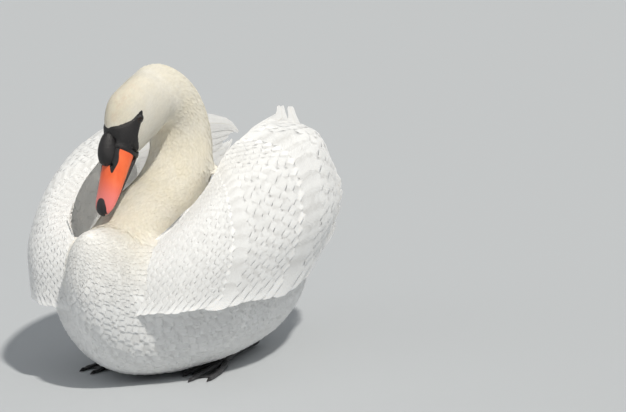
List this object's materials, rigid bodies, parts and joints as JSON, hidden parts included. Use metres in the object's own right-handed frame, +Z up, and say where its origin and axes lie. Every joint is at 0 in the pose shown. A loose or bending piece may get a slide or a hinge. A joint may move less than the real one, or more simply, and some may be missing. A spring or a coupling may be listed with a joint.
{
  "type": "mute swan",
  "caption": "Life-size still model of a swan afloat in display: neck drawn back in an S, bill pointing down, wings arched in two domes over the back.",
  "frame": {"origin": "centre of the belly's flat, on the floor", "axes": "+Z up from the floor, -Y the way the bird's breast faces, +X its left side, so the body's length lies along Y"},
  "size_m": [0.3516, 0.735, 0.3911],
  "materials": {
    "white_plumage": "matte white feathers",
    "cream_plumage": "matte cream-stained short feathers",
    "orange_bill": "satin orange-red horn, pinker at the tip",
    "black_bill": "satin black bare skin and horn",
    "eye": "glossy dark brown",
    "foot_skin": "dark grey scaled skin"
  },
  "bodies": {
    "root": {"trunk": "white_plumage", "tail": "white_plumage", "neck_lower": "cream_plumage", "neck_middle": "cream_plumage", "neck_upper": "cream_plumage", "head": "cream_plumage", "bill_upper": "orange_bill", "bill_lower": "black_bill", "bill_nail": "black_bill", "bill_knob": "black_bill", "eye_left": "eye", "eye_right": "eye", "wing_left_arm": "white_plumage", "wing_left_secondaries": "white_plumage", "wing_left_primaries": "white_plumage", "wing_right_arm": "white_plumage", "wing_right_secondaries": "white_plumage", "wing_right_primaries": "white_plumage", "foot_left": "foot_skin", "foot_right": "foot_skin"}
  },
  "joints": []
}
